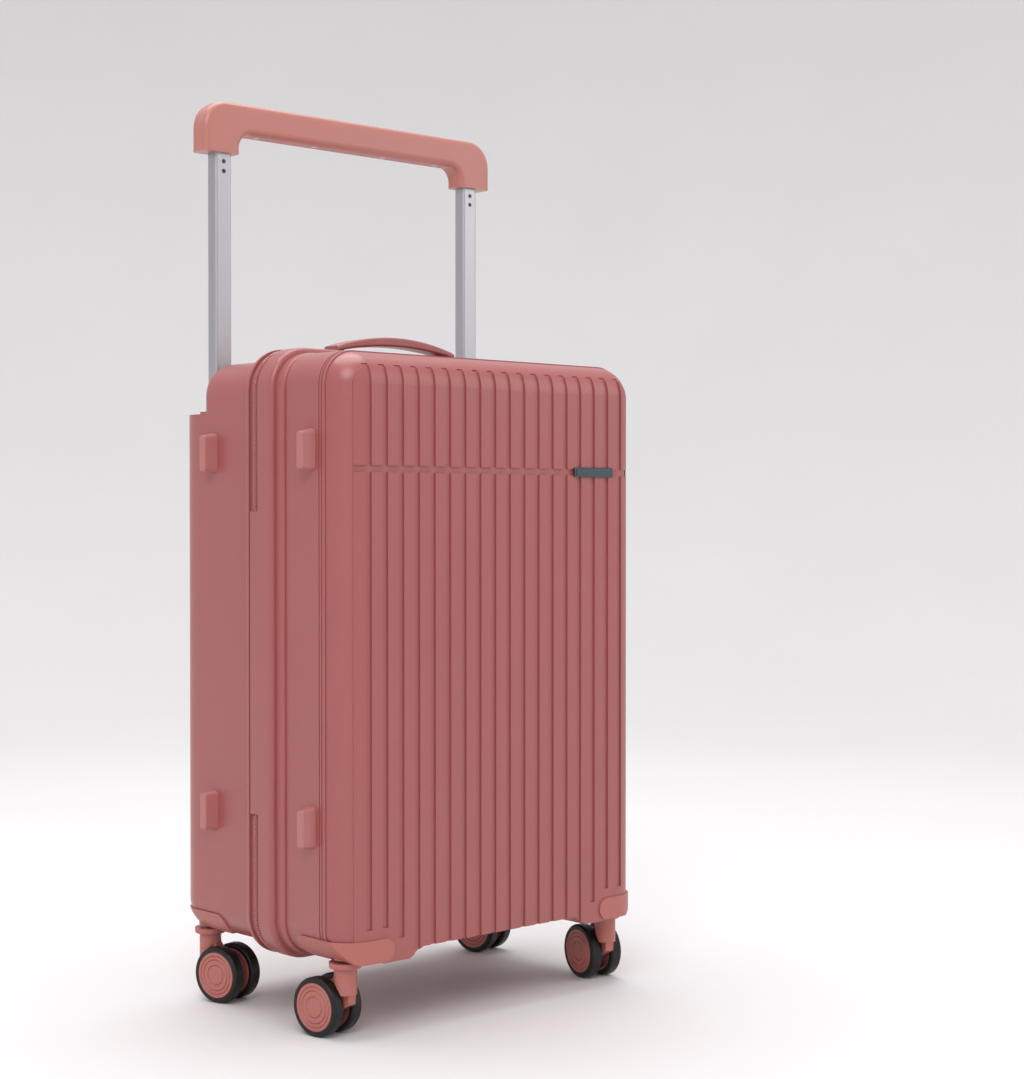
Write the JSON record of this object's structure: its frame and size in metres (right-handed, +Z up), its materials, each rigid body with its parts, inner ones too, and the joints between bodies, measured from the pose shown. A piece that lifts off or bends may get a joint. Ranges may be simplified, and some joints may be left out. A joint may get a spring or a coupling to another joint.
{
  "type": "hard shell spinner suitcase",
  "caption": "Upright hard shell travel case on swivelling twin-wheel casters, with a ribbed opening front, a wide telescopic handle, carry handles and a zip with a combination lock.",
  "frame": {"origin": "on the floor under the middle of the whole suitcase's box", "axes": "+Z up, front ribbed face towards -Y, trolley at +Y, hinge side and side feet at -X, zip opening side at +X"},
  "size_m": [0.471, 0.2924, 0.9705],
  "materials": {
    "shell": "satin rose moulded plastic",
    "shell_trim": "satin rose moulded plastic",
    "grip": "soft satin rose plastic",
    "button": "satin rose plastic",
    "zip_tape": "woven rose tape",
    "zip_coil": "rose nylon coil",
    "badge": "dark slate-grey brushed plate",
    "tube": "silver anodised",
    "steel": "plated steel",
    "zip_metal": "dark plated die-cast",
    "black_plastic": "satin black plastic",
    "dial": "satin light grey",
    "caster": "satin rose moulded plastic",
    "tyre": "matt black soft tread",
    "lining": "grey woven polyester lining",
    "webbing": "black elastic webbing"
  },
  "bodies": {
    "case": {"rear_shell": "shell", "rear_lining": "lining", "zip_tape_rear": "zip_tape", "zip_coil_rear": "zip_coil", "hinge_strip": "zip_tape", "tube_collars": "shell_trim", "outer_tubes": "tube", "tube_brackets": "black_plastic", "handle_brackets": "shell_trim", "handle_pins": "steel", "side_feet_rear": "shell_trim", "lock_body": "black_plastic", "guard_rear_left": "shell_trim", "guard_rear_right": "shell_trim", "swivel_pins_rear": "steel", "packing_straps": "webbing", "strap_buckle": "black_plastic"},
    "lid": {"front_shell": "shell", "front_lining": "lining", "zip_tape_front": "zip_tape", "zip_coil_front": "zip_coil", "badge": "badge", "side_feet_front": "shell_trim", "guard_front_left": "shell_trim", "guard_front_right": "shell_trim", "swivel_pins_front": "steel"},
    "trolley": {"inner_tubes": "tube", "grip_shell": "grip", "grip_cover": "shell_trim", "grip_screws": "steel", "tube_pins": "black_plastic"},
    "release": {"release_button": "button", "push_rods": "black_plastic"},
    "top_grab": {"top_handle": "grip"},
    "side_grab": {"side_handle": "grip"},
    "dial_1": {"lock_dial_1": "dial"},
    "dial_2": {"lock_dial_2": "dial"},
    "dial_3": {"lock_dial_3": "dial"},
    "lock_release": {"lock_button": "button"},
    "slider_upper": {"zip_slider_upper": "zip_metal"},
    "slider_lower": {"zip_slider_lower": "zip_metal"},
    "pull_upper": {"zip_pull_upper": "zip_metal"},
    "pull_lower": {"zip_pull_lower": "zip_metal"},
    "caster_front_left": {"fork_front_left": "caster"},
    "wheels_front_left": {"axle_front_left": "steel", "hubs_front_left": "caster", "tyres_front_left": "tyre"},
    "caster_front_right": {"fork_front_right": "caster"},
    "wheels_front_right": {"axle_front_right": "steel", "hubs_front_right": "caster", "tyres_front_right": "tyre"},
    "caster_rear_left": {"fork_rear_left": "caster"},
    "wheels_rear_left": {"axle_rear_left": "steel", "hubs_rear_left": "caster", "tyres_rear_left": "tyre"},
    "caster_rear_right": {"fork_rear_right": "caster"},
    "wheels_rear_right": {"axle_rear_right": "steel", "hubs_rear_right": "caster", "tyres_rear_right": "tyre"}
  },
  "joints": [
    {"name": "lid_hinge", "type": "hinge", "parent": "case", "child": "lid", "pos_m": [-0.2305, -0.00675, 0.372], "axis": [0, 0, -1], "range_deg": [0, 168], "deforming": ["hinge_strip"]},
    {"name": "trolley_slide", "type": "slide", "parent": "case", "child": "trolley", "axis": [0, 0, 1], "range_m": [-0.2787, 0]},
    {"name": "release_press", "type": "slide", "parent": "trolley", "child": "release", "axis": [0, 0, -1], "range_m": [0, 0.004], "stiffness_N_per_m": 900, "springref_m": -0.003},
    {"name": "top_handle_lift", "type": "slide", "parent": "case", "child": "top_grab", "axis": [0, 0, 1], "range_m": [0, 0.004], "stiffness_N_per_m": 400, "springref_m": -0.002},
    {"name": "side_handle_lift", "type": "slide", "parent": "case", "child": "side_grab", "axis": [1, 0, 0], "range_m": [0, 0.004], "stiffness_N_per_m": 400, "springref_m": -0.002},
    {"name": "lock_press", "type": "slide", "parent": "case", "child": "lock_release", "axis": [-1, 0, 0], "range_m": [0, 0.003], "stiffness_N_per_m": 300, "springref_m": -0.002},
    {"name": "dial_1_turn", "type": "hinge", "parent": "case", "child": "dial_1", "pos_m": [0.208, 0.02325, 0.399], "axis": [0, 0, 1], "continuous": true},
    {"name": "dial_2_turn", "type": "hinge", "parent": "case", "child": "dial_2", "pos_m": [0.208, 0.02325, 0.407], "axis": [0, 0, 1], "continuous": true},
    {"name": "dial_3_turn", "type": "hinge", "parent": "case", "child": "dial_3", "pos_m": [0.208, 0.02325, 0.415], "axis": [0, 0, 1], "continuous": true},
    {"name": "slider_upper_run", "type": "slide", "parent": "case", "child": "slider_upper", "axis": [0, 0, 1], "range_m": [0, 0.2]},
    {"name": "pull_upper_swing", "type": "hinge", "parent": "slider_upper", "child": "pull_upper", "pos_m": [0.2158, -0.00675, 0.424], "axis": [0, -1, 0], "range_deg": [0, 110]},
    {"name": "slider_lower_run", "type": "slide", "parent": "case", "child": "slider_lower", "axis": [0, 0, -1], "range_m": [0, 0.2]},
    {"name": "pull_lower_swing", "type": "hinge", "parent": "slider_lower", "child": "pull_lower", "pos_m": [0.2158, -0.00675, 0.368], "axis": [0, -1, 0], "range_deg": [0, 110]},
    {"name": "swivel_front_left", "type": "hinge", "parent": "lid", "child": "caster_front_left", "pos_m": [-0.1965, -0.11475, 0.06], "axis": [0, 0, 1], "continuous": true},
    {"name": "roll_front_left", "type": "hinge", "parent": "caster_front_left", "child": "wheels_front_left", "pos_m": [-0.19998, -0.08999, 0.03], "axis": [0.9903, 0.1392, 0], "continuous": true},
    {"name": "swivel_front_right", "type": "hinge", "parent": "lid", "child": "caster_front_right", "pos_m": [0.1755, -0.11475, 0.06], "axis": [0, 0, 1], "continuous": true},
    {"name": "roll_front_right", "type": "hinge", "parent": "caster_front_right", "child": "wheels_front_right", "pos_m": [0.18027, -0.09021, 0.03], "axis": [0.9816, -0.1908, 0], "continuous": true},
    {"name": "swivel_rear_left", "type": "hinge", "parent": "case", "child": "caster_rear_left", "pos_m": [-0.1965, 0.12125, 0.06], "axis": [0, 0, 1], "continuous": true},
    {"name": "roll_rear_left", "type": "hinge", "parent": "caster_rear_left", "child": "wheels_rear_left", "pos_m": [-0.19088, 0.09689, 0.03], "axis": [-0.9744, -0.225, 0], "continuous": true},
    {"name": "swivel_rear_right", "type": "hinge", "parent": "case", "child": "caster_rear_right", "pos_m": [0.1755, 0.12125, 0.06], "axis": [0, 0, 1], "continuous": true},
    {"name": "roll_rear_right", "type": "hinge", "parent": "caster_rear_right", "child": "wheels_rear_right", "pos_m": [0.17984, 0.09663, 0.03], "axis": [-0.9848, -0.1736, 0], "continuous": true}
  ]
}
